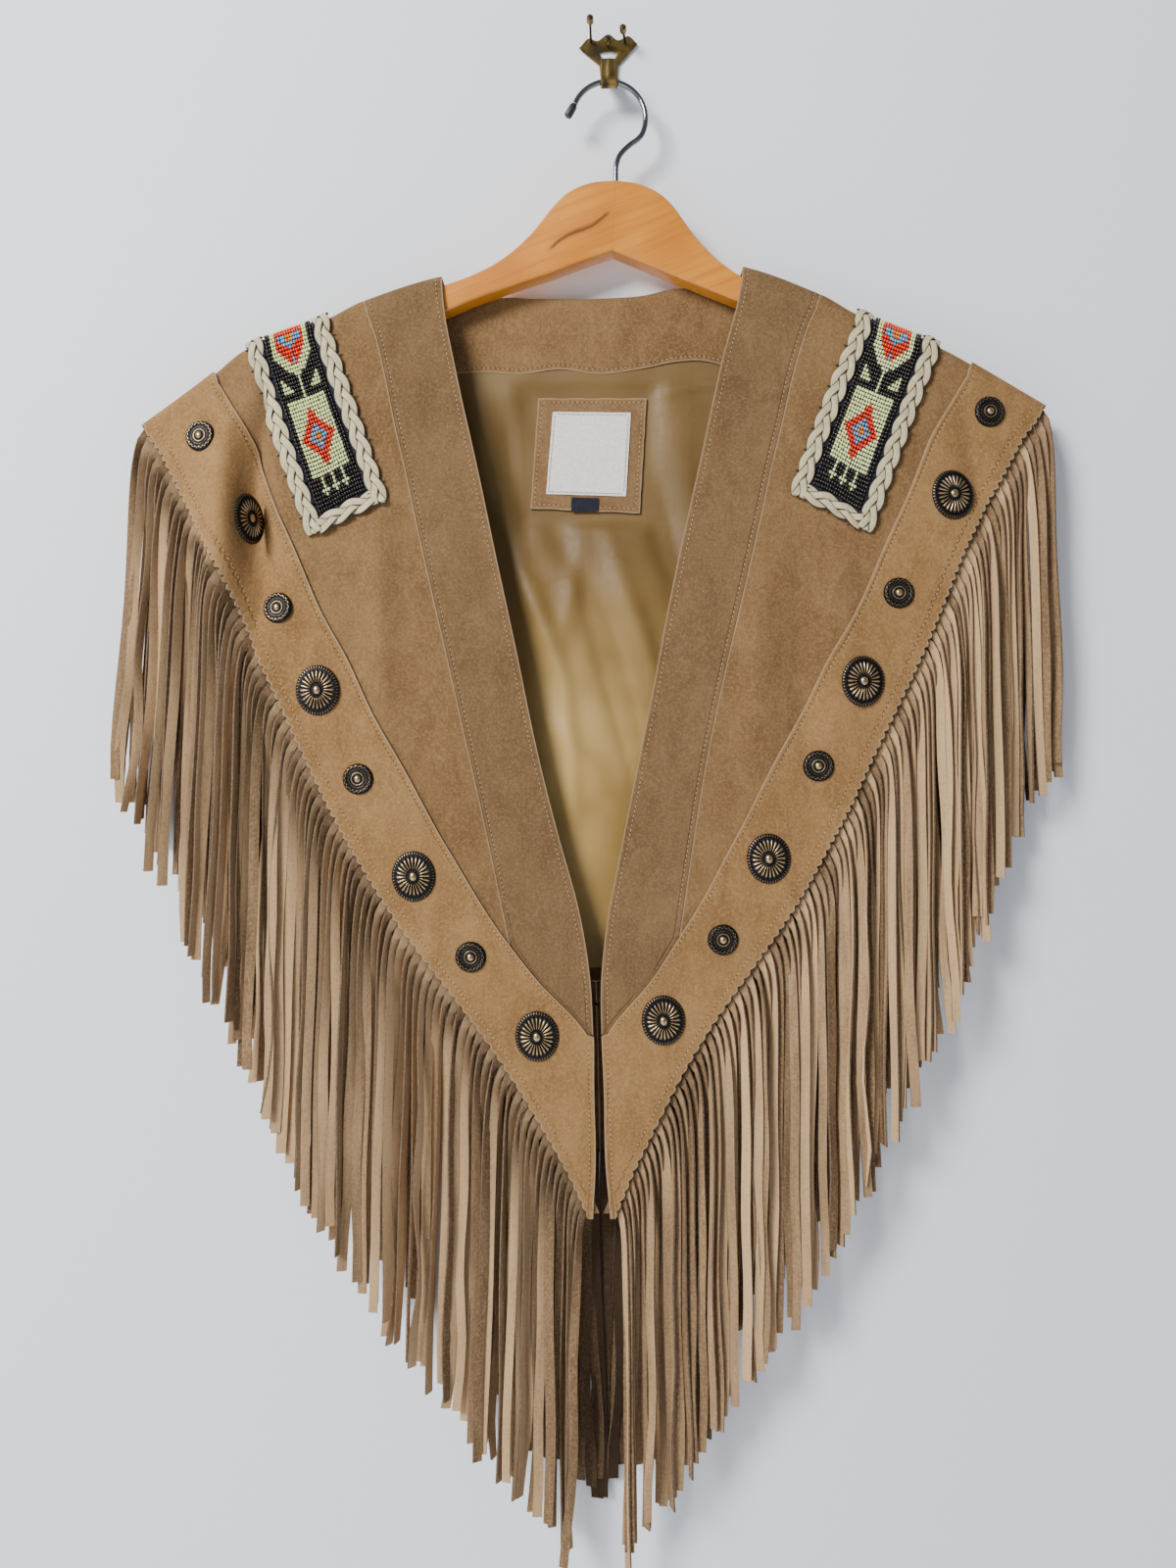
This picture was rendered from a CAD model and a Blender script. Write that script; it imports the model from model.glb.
import math
import random

import bmesh
import bpy
import numpy as np
from mathutils import Matrix, Vector


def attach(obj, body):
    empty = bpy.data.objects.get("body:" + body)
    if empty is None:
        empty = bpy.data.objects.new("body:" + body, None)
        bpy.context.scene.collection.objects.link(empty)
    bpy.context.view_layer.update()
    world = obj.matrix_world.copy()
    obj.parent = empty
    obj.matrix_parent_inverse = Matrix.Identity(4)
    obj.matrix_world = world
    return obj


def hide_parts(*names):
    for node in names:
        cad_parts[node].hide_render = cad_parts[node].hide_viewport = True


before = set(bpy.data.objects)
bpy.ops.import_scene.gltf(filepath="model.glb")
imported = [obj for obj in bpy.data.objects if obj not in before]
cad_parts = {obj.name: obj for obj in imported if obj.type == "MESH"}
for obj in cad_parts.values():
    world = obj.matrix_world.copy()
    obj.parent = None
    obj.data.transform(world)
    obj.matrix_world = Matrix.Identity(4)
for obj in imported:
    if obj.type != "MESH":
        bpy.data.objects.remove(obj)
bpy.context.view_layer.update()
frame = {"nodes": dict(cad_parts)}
scene = bpy.context.scene
mm = 0.001

# Camera, wall and lights
cameraSettings = {"place": (-13.3, -738, -461.8), "lens": 26.25, "sensor": 36}
wallSettings = {"y": 0.6, "width": 9.0, "height": 4.4, "floor": -1.5, "depth": 4.0}
lightSettings = {
    "key": {"place": (-1.45, -1.75, 0.8), "size": 0.95, "power": 101, "tint": (1.0, 0.985, 0.955)},
    "fill": {"place": (-1.5, -1.8, -1.0), "size": 2.0, "power": 9, "tint": (0.95, 0.97, 1.0)},
    "rear": {"place": (0.9, 2.4, 0.2), "size": 1.8, "power": 34, "tint": (1.0, 0.98, 0.95)},
    "world": {"tint": (0.88, 0.92, 1.0), "strength": 0.29},
    "aim": (0, 0, -0.45),
}
sides = ((-1, "left"), (1, "right"))


def tone(red, green, blue):  # a display colour, 0 to 255, as linear light
    parts = [part / 255 for part in (red, green, blue)]
    return tuple(p / 12.92 if p < 0.04 else ((p + 0.055) / 1.055) ** 2.4 for p in parts) + (1.0,)


def makeCamera(settings):
    data = bpy.data.cameras.new("camera")
    data.lens = settings["lens"]
    data.sensor_width = settings["sensor"]
    camera = bpy.data.objects.new("camera", data)
    camera.location = Vector(settings["place"]) * mm
    camera.rotation_euler = (math.pi / 2, 0, 0)
    scene.collection.objects.link(camera)
    scene.camera = camera


def makeLights(settings):
    for name in ("key", "fill", "rear"):
        look = settings[name]
        data = bpy.data.lights.new(name, "AREA")
        data.shape = "DISK"
        data.size = look["size"]
        data.energy = look["power"]
        data.color = look["tint"]
        light = bpy.data.objects.new(name, data)
        light.location = look["place"]
        aim = Vector(settings["aim"]) - light.location
        light.rotation_euler = aim.to_track_quat("-Z", "Y").to_euler()
        scene.collection.objects.link(light)
    world = bpy.data.worlds.new("studio")
    world.use_nodes = True
    backdrop = world.node_tree.nodes["Background"]
    backdrop.inputs["Color"].default_value = (*settings["world"]["tint"], 1)
    backdrop.inputs["Strength"].default_value = settings["world"]["strength"]
    scene.world = world


makeCamera(cameraSettings)
makeLights(lightSettings)
print("camera and lights")


class Field:  # a shader socket, with the maths that the materials use
    def __init__(self, tree, socket):
        self.tree = tree
        self.socket = socket

    def node(self, kind, settings=None, values=None, out=0):
        made = self.tree.nodes.new(kind)
        for key, value in (settings or {}).items():
            setattr(made, key, value)
        for key, value in (values or {}).items():
            if isinstance(value, Field):
                self.tree.links.new(value.socket, made.inputs[key])
            else:
                made.inputs[key].default_value = value
        return Field(self.tree, made.outputs[out])

    def maths(self, operation, first, second=0.0):
        return self.node("ShaderNodeMath", {"operation": operation}, {0: first, 1: second})

    def __add__(self, other):
        return self.maths("ADD", self, other)

    def __sub__(self, other):
        return self.maths("SUBTRACT", self, other)

    def __rsub__(self, other):
        return self.maths("SUBTRACT", other, self)

    def __mul__(self, other):
        return self.maths("MULTIPLY", self, other)

    __radd__ = __add__
    __rmul__ = __mul__

    def rise(self, low, high):  # 0 below low, 1 above high, smooth between
        return self.node(
            "ShaderNodeMapRange", {"interpolation_type": "SMOOTHSTEP"}, {0: self, 1: low, 2: high},
        )

    def near(self, centre, reach):  # 1 at the centre, 0 past its reach
        away = self.maths("ABSOLUTE", self - centre)
        return 1 - away.rise(0.0, reach)

    def wave(self, length):
        return self.maths("SINE", self * (2 * math.pi / length)) * 0.5 + 0.5

    def noise(self, size, detail=2.0, roughness=0.5, distortion=0.0):
        return self.node("ShaderNodeTexNoise", None, {
            "Vector": self, "Scale": 1 / size, "Detail": detail, "Roughness": roughness,
            "Distortion": distortion,
        })

    def scaled(self, x, y, z):
        return self.node("ShaderNodeMapping", None, {"Vector": self, "Scale": (x, y, z)})

    def turned(self, x, y, z):
        return self.node("ShaderNodeMapping", None, {"Vector": self, "Rotation": (x, y, z)})

    def axis(self, name):
        return self.node("ShaderNodeSeparateXYZ", None, {0: self}, name)

    def attribute(self, name):
        return self.node("ShaderNodeAttribute", {"attribute_name": name}, None, "Fac")

    def mix(self, low, high):  # this mask's blend of two colours
        return self.node("ShaderNodeMix", {"data_type": "RGBA"}, {0: self, 6: low, 7: high}, 2)


def startMaterial(name, constants):
    material = bpy.data.materials.new(name)
    material.use_nodes = True
    tree = material.node_tree
    shader = tree.nodes["Principled BSDF"]
    for key, value in constants.items():
        shader.inputs[key].default_value = value
    place = Field(tree, shader.outputs[0]).node("ShaderNodeTexCoord", None, None, "Object")
    return material, shader, place


def feed(shader, **fields):
    for key, field in fields.items():
        name = {"colour": "Base Color", "rough": "Roughness", "metal": "Metallic"}[key]
        field.tree.links.new(field.socket, shader.inputs[name])


def raiseBy(shader, height, distance, strength=1.0):
    bump = height.node("ShaderNodeBump", None, {
        "Height": height, "Distance": distance, "Strength": strength,
    })
    bump.tree.links.new(bump.socket, shader.inputs["Normal"])


suedeLooks = {
    "panel": {
        "dark": tone(96, 70, 43), "light": tone(136, 105, 70), "fibre": tone(160, 130, 94),
        "sheen": 0.1, "patches": 0.11, "contrast": 0.46,
    },
    "band": {
        "dark": tone(93, 70, 45), "light": tone(124, 97, 67), "fibre": tone(148, 121, 89),
        "sheen": 0.1, "patches": 0.1, "contrast": 0.36,
    },
    "hem": {
        "dark": tone(114, 82, 48), "light": tone(153, 118, 76), "fibre": tone(176, 144, 103),
        "sheen": 0.1, "patches": 0.09, "contrast": 0.45,
    },
    "back": {
        "dark": tone(104, 74, 43), "light": tone(140, 106, 67), "fibre": tone(160, 127, 86),
        "sheen": 0.1, "patches": 0.1, "contrast": 0.42,
    },
    "label": {
        "dark": tone(108, 80, 52), "light": tone(134, 106, 74), "fibre": tone(152, 124, 92),
        "sheen": 0.08, "patches": 0.03, "contrast": 0.5,
    },
}


def suedeMaterial(name, look):
    material, shader, place = startMaterial(name, {
        "Roughness": 0.94, "Sheen Weight": look["sheen"], "Sheen Roughness": 0.45,
        "Sheen Tint": tone(214, 178, 134), "Specular IOR Level": 0.12,
    })
    patches = place.noise(look["patches"], 3, 0.55, 0.4)
    nap = place.scaled(1, 1, 0.55).noise(0.016, 4, 0.6, 0.8)
    fibres = place.noise(0.0016, 3, 0.7)
    shade = (patches - 0.5) * (2.0 * look["contrast"]) + (nap - 0.5) * 0.9 + 0.5
    colour = shade.rise(0.0, 1.0).mix(look["dark"], look["light"])
    colour = (fibres.rise(0.42, 0.72) * 0.42).mix(colour, look["fibre"])
    pits = 1 - fibres.rise(0.3, 0.46)
    colour = (pits * 0.35).mix(colour, look["dark"])
    worn = place.attribute("edge").near(0.0, 0.0012)
    colour = (worn * 0.7).mix(colour, tone(168, 144, 112))
    groove = place.attribute("seam").near(0.0, 0.0011)
    colour = (groove * 0.35).mix(colour, look["dark"])
    feed(shader, colour=colour)
    raiseBy(shader, fibres * 0.6 + nap * 0.5 - groove * 0.9, 0.0006, 0.8)
    return material


def plainMaterial(name, low, high, size, constants, bump=0.0, rough=0.6, strength=1.0):
    material, shader, place = startMaterial(name, constants)
    grain = place.noise(size, 3, rough)
    feed(shader, colour=grain.rise(0.3, 0.7).mix(low, high))
    if bump:
        raiseBy(shader, grain, bump, strength)
    return material


def fringeMaterial():
    material, shader, place = startMaterial("fringeSuede", {
        "Roughness": 0.94, "Sheen Weight": 0.08, "Sheen Roughness": 0.45,
        "Sheen Tint": tone(214, 178, 134), "Specular IOR Level": 0.12,
    })
    each = place.attribute("strandTone")
    rootShade = (1 - place.attribute("fromRoot").rise(0.003, 0.011)) * 0.62
    backShade = (each * -1.0).rise(0.0, 0.6)  # the back's strands have tones below 0
    fibres = place.noise(0.0015, 3, 0.7)
    streaks = place.scaled(1, 1, 0.12).noise(0.006, 3, 0.6)
    shade = each * 0.8 + (streaks - 0.5) * 0.7 + 0.1
    colour = shade.rise(0.0, 1.0).mix(tone(104, 80, 56), tone(192, 158, 118))
    colour = (fibres.rise(0.42, 0.74) * 0.35).mix(colour, tone(198, 168, 132))
    colour = ((1 - fibres.rise(0.28, 0.46)) * 0.35).mix(colour, tone(84, 63, 42))
    shaded = each.maths("MAXIMUM", backShade, rootShade)
    colour = shaded.mix(colour, tone(52, 40, 31))
    feed(shader, colour=colour)
    raiseBy(shader, fibres * 0.7 + streaks * 0.4, 0.0005, 0.8)
    return material


suede = {key: suedeMaterial(f"{key}Suede", look) for key, look in suedeLooks.items()}
fringeSuede = fringeMaterial()
rawEdge = plainMaterial(  # cut edges of the bands and panels
    "rawEdge", tone(128, 104, 76), tone(172, 150, 122), 0.0012, {"Roughness": 0.95}, 0.0005, 0.7, 0.8,
)
cutEdge = plainMaterial(  # cut edges of the fringe
    "cutEdge", tone(70, 55, 40), tone(128, 106, 82), 0.0012, {"Roughness": 0.95}, rough=0.7,
)
print("suede materials")


def satinMaterial():
    material, shader, place = startMaterial("satin", {
        "Roughness": 0.42, "Sheen Weight": 0.06, "Sheen Roughness": 0.3, "Specular IOR Level": 0.34,
        "Anisotropic": 0.4,
    })
    cut = place.node("ShaderNodeUVMap", {"uv_map": "cut"})
    warp = cut.axis("X").wave(0.0007)
    weft = (cut.axis("Y") + cut.axis("X") * 0.5).wave(0.0009)
    cloud = place.noise(0.05, 2)
    colour = cloud.rise(0.2, 0.8).mix(tone(150, 118, 62), tone(190, 158, 98))
    upper = place.axis("Z").rise(-0.47, -0.3) * 0.82
    colour = upper.mix(colour, tone(88, 64, 28))
    colour = (weft * warp * 0.25).mix(colour, tone(104, 80, 36))
    feed(shader, colour=colour, rough=place.noise(0.004, 3).rise(0.2, 0.8) * 0.12 + 0.4)
    raiseBy(shader, warp * 0.4 + weft * 0.6, 0.00012, 0.5)
    return material


def feltMaterial():
    material, shader, place = startMaterial("navyFelt", {"Roughness": 1.0, "Sheen Weight": 0.15})
    fuzz = place.noise(0.0008, 4, 0.75)
    feed(shader, colour=fuzz.rise(0.3, 0.75).mix(tone(8, 9, 16), tone(32, 36, 58)))
    raiseBy(shader, fuzz, 0.0006)
    return material


def braidMaterial():
    material, shader, place = startMaterial("braidLeather", {
        "Roughness": 0.66, "Specular IOR Level": 0.25,
    })
    lace = place.node("ShaderNodeUVMap", {"uv_map": "lace"})
    lines = lace.scaled(1, 0.02, 1).noise(0.00045, 2, 0.6)
    mottle = place.noise(0.004, 3)
    colour = (lines * 0.6 + mottle * 0.4).rise(0.3, 0.7)
    colour = colour.mix(tone(178, 165, 128), tone(212, 201, 166))
    edge = lace.maths("ABSOLUTE", lace.axis("X")).rise(0.0016, 0.00205)
    colour = (edge * 0.95).mix(colour, tone(58, 44, 28))
    feed(shader, colour=colour)
    raiseBy(shader, lines, 0.00025, 0.7)
    return material


def metalMaterial(name, dark, bright, wornFrom, wornTo, roughDark, roughBright):
    material, shader, place = startMaterial(name, {"Specular IOR Level": 0.5})
    worn = place.attribute("worn") + (place.noise(0.0025, 3, 0.6) - 0.5) * 0.35
    mask = worn.rise(wornFrom, wornTo)
    feed(
        shader, colour=mask.mix(dark, bright), metal=mask * 0.35 + 0.65,
        rough=(1 - mask) * (roughDark - roughBright) + roughBright,
    )
    raiseBy(shader, place.noise(0.0012, 3), 0.0001, 0.5)
    return material


def chromeMaterial():
    material, shader, place = startMaterial("chrome", {"Metallic": 1.0})
    haze = place.noise(0.012, 3)
    feed(
        shader, colour=haze.mix(tone(98, 101, 106), tone(150, 154, 160)),
        rough=haze * 0.1 + 0.08,
    )
    return material


def woodMaterial():
    material, shader, place = startMaterial("lacqueredWood", {
        "Roughness": 0.38, "Coat Weight": 0.22, "Coat Roughness": 0.18,
    })
    along = place.turned(0, math.radians(22), 0)
    grain = along.scaled(0.05, 1, 1).noise(0.0045, 4, 0.6, 0.35)
    streaks = along.scaled(0.025, 1, 1).noise(0.0016, 3, 0.6)
    broad = place.noise(0.06, 2)
    colour = broad.rise(0.25, 0.75).mix(tone(194, 116, 28), tone(222, 148, 50))
    colour = (grain.rise(0.42, 0.7) * 0.5).mix(colour, tone(180, 102, 28))
    colour = (streaks.rise(0.5, 0.75) * 0.35).mix(colour, tone(150, 80, 30))
    flawed = place.node("ShaderNodeMapping", None, {  # a dark flaw by the joint, on the left
        "Vector": place, "Location": (0.0185, 0, 0.116),
    }).turned(0, math.radians(29.4), 0)
    along, away = flawed.axis("X"), flawed.axis("Z")
    away = away + (along.wave(0.034) - 0.5) * 0.0022 + (place.noise(0.006, 2) - 0.5) * 0.0016
    within = along.near(0.0, 0.029)
    front = 1 - place.axis("Y").rise(-0.0225, -0.0215)
    stain = away.near(0.0, 0.0048) * within * front
    crack = away.near(0.0, 0.0019) * within.rise(0.05, 0.3) * front
    colour = (stain * 0.45).mix(colour, tone(150, 86, 36))
    colour = (crack * 0.85).mix(colour, tone(84, 48, 22))
    feed(shader, colour=colour, rough=streaks * 0.12 + 0.28)
    raiseBy(shader, streaks * 0.2 - crack, 0.0004, 0.5)
    return material


def glassBead(name, low, high):
    material, shader, place = startMaterial(name, {
        "Roughness": 0.22, "Specular IOR Level": 0.7,
    })
    feed(shader, colour=place.noise(0.0016, 1).rise(0.3, 0.7).mix(low, high))
    return material


satin = satinMaterial()
navyFelt = feltMaterial()
braidLeather = braidMaterial()
conchoMetal = metalMaterial(
    "conchoMetal", tone(16, 14, 15), tone(190, 162, 120), 0.45, 0.95, 0.5, 0.3,
)
agedBrass = metalMaterial(
    "agedBrass", tone(52, 44, 24), tone(144, 120, 66), 0.2, 0.95, 0.45, 0.28,
)
chrome = chromeMaterial()
wood = woodMaterial()
wovenLabel = plainMaterial(
    "wovenGround", tone(214, 210, 204), tone(240, 238, 234), 0.0009, {"Roughness": 0.8}, 0.0002,
)
thread = plainMaterial(
    "tanThread", tone(150, 116, 74), tone(200, 164, 116), 0.0012, {"Roughness": 0.8}, 0.0002,
)
needleHole = plainMaterial(
    "needleHole", tone(60, 42, 26), tone(84, 60, 38), 0.001, {"Roughness": 1.0},
)
blackThread = plainMaterial(
    "blackThread", tone(12, 12, 14), tone(30, 30, 34), 0.001, {"Roughness": 0.7}, 0.0002,
)
blackSteel = plainMaterial(
    "blackSteel", tone(22, 22, 24), tone(52, 52, 56), 0.004,
    {"Roughness": 0.35, "Metallic": 0.8},
)
rubberTip = plainMaterial(
    "rubberTip", tone(24, 26, 30), tone(46, 50, 56), 0.003, {"Roughness": 0.4}, 0.0001,
)
beadLooks = [
    glassBead("paleGreenBead", tone(216, 224, 150), tone(244, 248, 192)),
    glassBead("redBead", tone(214, 36, 8), tone(240, 66, 20)),
    glassBead("blueBead", tone(78, 148, 196), tone(128, 192, 228)),
    glassBead("orangeBead", tone(232, 110, 4), tone(250, 156, 30)),
    glassBead("blackBead", tone(12, 10, 9), tone(44, 32, 22)),
]
print("other materials")


# The cloth's form: the same tables and rules as the solids, in millimetres
cloth = {
    "leather": 1.5, "satin": 1.0, "gap": 0.3, "ridgeY": -17, "rollFall": 11,
    "rollFront": 9.1, "rollBack": 11.4, "rollPower": 2 / 3, "backLean": 3,
    "neckX": -9.6, "neckZ": -143, "turn": 0.7, "backScale": 0.945, "tipDown": 590,
    "liningInset": 6, "frontStart": -11, "bandEnd": 476, "panelEnd": 427, "backStart": 11.3,
    "backEnd": 447, "liningEnd": 438, "hemLift": 1.8, "innerLift": -1.8,
}
ridgeRows = {
    "across": (0, 30, 55, 94.6, 144, 166, 217.5, 238, 284.3),
    "left": (2.0, 2.3, 3.0, 0.8, -14.2, -24.9, -43.8, -59.5, -91.7),
    "right": (2.0, 3.4, 7.5, 4.7, -13.8, -26.5, -48.0, -59.2, -86.2),
}
cutRows = {
    "down": (0, 15, 30, 60, 90, 120, 160, 200, 240, 280, 320, 360, 400, 440, 480, 520, 560, 590),
    "inner": (94.6, 92.7, 90.2, 83.4, 77, 70.3, 61.4, 52.9, 44.6, 36.4, 27.6, 18.6, 9.1, 3.4,
              2.6, 2.7, 3.5, 5),
    "seam": (144, 138.1, 133, 125.8, 119.7, 113, 104.8, 96.2, 87.3, 78.5, 70.2, 62.7, 55.7,
             48.7, 41.7, 34.7, 27.7, 22.7),
    "upper": (238, 231.2, 224.7, 211.6, 200.8, 189.8, 174.9, 159, 142.4, 125.3, 107.1, 87.9,
              66.4, 37.6, 4.4, 4.4, 4.4, 4.4),
    "lower": (284.3, 275.6, 268, 256, 243.6, 231.5, 218.1, 203.9, 187.7, 171.5, 156.1, 138.8,
              118.8, 94.9, 68, 43, 20.8, 7.6),
}
driftRows = {
    "down": (0, 60, 120, 200, 300, 400, 480, 590),
    "left": (1, 3.5, 4.6, 5.6, 6.5, 5, 3.5, 2.4),
}
bulgeRows = {"down": (0, 11, 60, 140, 250, 400, 600), "out": (0, 0, 3, 6.5, 8.5, 6.5, 3)}
foldRows = [
    {"side": -1, "across": 219, "start": 40, "end": 200, "width": 14, "out": -3.2},
    {"side": -1, "across": 131, "start": 110, "end": 270, "width": 13, "out": 3},
    {"side": 1, "across": 238, "start": 12, "end": 120, "width": 14, "out": -2.5},
    {"side": 1, "across": 105, "start": 180, "end": 340, "width": 15, "out": 2.5},
    {"side": 1, "across": 158, "start": 150, "end": 300, "width": 14, "out": 2},
]
# One deep fold under the left shoulder: proud on its outer side, hollow on its inner side
deepFold = {
    "side": -1, "across": 217, "slant": 0.05, "start": 36, "end": 194, "width": 10.5, "out": 10.2,
}
# Creases that lie on those folds: from one place of the cut to another
creaseRows = [
    {"side": -1, "start": (206, 14), "end": (203, 96), "width": 5.5, "out": -3.4},
    {"side": -1, "start": (200, 100), "end": (206, 215), "width": 5, "out": -2.4},
    {"side": -1, "start": (136, 120), "end": (120, 300), "width": 9, "out": 1.5},
    {"side": -1, "start": (152, 130), "end": (140, 330), "width": 11, "out": -1.5},
    {"side": -1, "start": (100, 220), "end": (62, 400), "width": 12, "out": 1.2},
    {"side": 1, "start": (236, 20), "end": (244, 120), "width": 8, "out": -1.8},
    {"side": 1, "start": (112, 170), "end": (98, 330), "width": 9, "out": 1.3},
    {"side": 1, "start": (160, 150), "end": (150, 300), "width": 10, "out": 1.2},
    {"side": 1, "start": (136, 120), "end": (128, 330), "width": 10, "out": -1.4},
    {"side": -1, "start": (150, -60), "end": (120, -260), "width": 14, "out": 1.6},
    {"side": -1, "start": (60, -40), "end": (40, -300), "width": 16, "out": -1.5},
    {"side": 1, "start": (40, -60), "end": (70, -330), "width": 15, "out": 1.5},
    {"side": 1, "start": (170, -50), "end": (140, -240), "width": 13, "out": -1.4},
]


def readRows(rows, key, value, at):  # smooth reading of a table between its rows
    xs = np.array(rows[key], float)
    ys = np.array(rows[value], float)
    at = np.clip(np.asarray(at, float), xs[0], xs[-1])
    count = np.arange(len(xs))
    before = np.maximum(count - 1, 0)
    after = np.minimum(count + 1, len(xs) - 1)
    slopes = (ys[after] - ys[before]) / (xs[after] - xs[before])
    i = np.clip(np.searchsorted(xs, at, side="right") - 1, 0, len(xs) - 2)
    span = xs[i + 1] - xs[i]
    t = (at - xs[i]) / span
    climb = ys[i + 1] - ys[i]
    start = slopes[i] * span
    end = slopes[i + 1] * span
    bend = 3 * climb - 2 * start - end
    return ys[i] + t * start + t ** 2 * bend + t ** 3 * (start + end - 2 * climb)


def smoothStep(value, low, high):
    t = np.clip((value - low) / (high - low), 0, 1)
    return t * t * (3 - 2 * t)


def cutAt(edge, down):
    return readRows(cutRows, "down", edge, np.abs(down))


def foldsAt(side, across, down):
    out = np.zeros_like(across)
    for fold in foldRows:
        share = (down - (fold["start"] + fold["end"]) / 2) / (fold["end"] - fold["start"]) * 2
        hump = np.exp(-((across - fold["across"]) / fold["width"]) ** 2)
        fade = np.where(np.abs(share) < 1, (1 - share ** 2) ** 2, 0)
        out = out + np.where(side == fold["side"], fold["out"] * hump * fade, 0)
    return out


def creasesAt(side, across, down):
    out = np.zeros_like(across)
    for crease in creaseRows:
        start = np.array(crease["start"], float)
        line = np.array(crease["end"], float) - start
        length = np.hypot(*line)
        along = ((across - start[0]) * line[0] + (down - start[1]) * line[1]) / length ** 2
        away = ((across - start[0]) * line[1] - (down - start[1]) * line[0]) / length
        fade = np.where((along > 0) & (along < 1), np.sin(np.pi * np.clip(along, 0, 1)) ** 1.3, 0)
        bend = away + 3 * np.sin(along * 5)
        hump = np.exp(-(bend / crease["width"]) ** 2)
        out = out + np.where(side == crease["side"], crease["out"] * hump * fade, 0)
    fold = deepFold
    apart = (across - fold["across"] + fold["slant"] * (down - 110)) / fold["width"]
    reach = np.clip((down - fold["start"]) / (fold["end"] - fold["start"]), 0, 1)
    wave = apart * np.exp(0.5 - apart ** 2 / 2) * np.sin(np.pi * reach) ** 1.2
    out = out + np.where(side == fold["side"], fold["out"] * wave, 0)
    ripple = np.sin(across / 17 + 1.3 * side) * np.sin(down / 41 + across / 60 + side)
    ripple = ripple + 0.5 * np.sin(across / 9 - down / 29 + 2 * side)
    out = out + 0.45 * ripple * smoothStep(np.abs(down), 14, 60)
    return np.where(down < 0, np.maximum(out, 0), out)  # the back's stay clear of its lining


def faceAt(side, across, down, creased=True):
    side, across, down = np.broadcast_arrays(
        np.asarray(side, float), np.asarray(across, float), np.asarray(down, float),
    )
    fallen = np.abs(down)
    isFront = down >= 0
    rollFall = cloth["rollFall"]
    rollReach = np.where(isFront, cloth["rollFront"], cloth["rollBack"])
    rollReach = rollReach * (1 - 0.42 * smoothStep(across, 222, 286))
    angle = np.clip(fallen / rollFall, 0, 1) * math.pi / 2
    onRoll = fallen < rollFall
    lowered = rollFall * (1 - np.clip(np.cos(angle), 0, 1) ** cloth["rollPower"])
    fall = np.where(onRoll, lowered, fallen)
    reach = np.where(onRoll, rollReach * np.sin(angle) ** cloth["rollPower"], rollReach)
    bulge = readRows(bulgeRows, "down", "out", down)
    bulge = bulge * (1 - 0.5 * smoothStep(across, 225, 290)) + foldsAt(side, across, down)
    lean = cloth["backLean"] * smoothStep(fallen, rollFall, 80)
    reach = reach + np.where(onRoll, 0, np.where(isFront, bulge, lean))
    if creased:
        reach = reach + creasesAt(side, across, down) * smoothStep(fallen, rollFall, 34)
    ridge = np.where(
        side < 0, readRows(ridgeRows, "across", "left", across),
        readRows(ridgeRows, "across", "right", across),
    )
    height = ridge - fall
    turn = math.radians(cloth["turn"])
    drift = readRows(driftRows, "down", "left", fallen)
    return np.stack([
        cloth["neckX"] + side * across * math.cos(turn) - height * math.sin(turn) - drift,
        cloth["ridgeY"] + np.where(isFront, -reach, reach),
        cloth["neckZ"] + side * across * math.sin(turn) + height * math.cos(turn),
    ], axis=-1)


def outwardAt(side, across, down, creased=True):
    step = 0.5
    across = np.asarray(across, float)
    sideways = faceAt(side, across + step, down, creased)
    sideways = sideways - faceAt(side, np.maximum(across - step, 0), down, creased)
    downwards = faceAt(side, across, down + step, creased)
    downwards = downwards - faceAt(side, across, down - step, creased)
    normal = np.cross(downwards, sideways) * np.broadcast_to(side, across.shape)[..., None]
    return normal / np.linalg.norm(normal, axis=-1, keepdims=True)


def clothAt(side, across, down, lift, creased=True):
    across, down, lift = np.broadcast_arrays(
        np.asarray(across, float), np.asarray(down, float), np.asarray(lift, float),
    )
    normal = outwardAt(side, across, down, creased)
    return faceAt(side, across, down, creased) + normal * lift[..., None]


def runLengths(points):  # distance along a line of points, from its first
    return np.concatenate([[0], np.cumsum(np.linalg.norm(np.diff(points, axis=0), axis=1))])


def makePiece(name, shape, materials, replaced=()):
    for edge in shape.edges:
        if edge.is_boundary:
            edge.smooth = False  # a crisp rim once the sheet has its thickness
    mesh = bpy.data.meshes.new(name)
    shape.to_mesh(mesh)
    shape.free()
    for material in materials:
        mesh.materials.append(material)
    mesh.polygons.foreach_set("use_smooth", [True] * len(mesh.polygons))
    piece = bpy.data.objects.new(name, mesh)
    scene.collection.objects.link(piece)
    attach(piece, "root")
    if replaced:
        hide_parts(*replaced)
    return piece


def thicken(piece, thickness, rim=0, offset=-1):
    wall = piece.modifiers.new("wall", "SOLIDIFY")
    wall.thickness = thickness * mm
    wall.offset = offset
    wall.material_offset_rim = rim
    return piece


def gridIn(shape, columns, rows):  # a grid's vertices, and their places in it from 0 to 1
    made = bmesh.ops.create_grid(shape, x_segments=columns, y_segments=rows, size=0.5)["verts"]
    return made, np.array([vert.co[:2] for vert in made]) + 0.5


def turnOutward(shape, outward):
    shape.normal_update()
    shape.verts.index_update()
    shape.faces.ensure_lookup_table()
    middle = shape.faces[len(shape.faces) // 2]
    if middle.normal.dot(Vector(outward[middle.verts[0].index])) < 0:
        bmesh.ops.reverse_faces(shape, faces=shape.faces[:])


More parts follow.
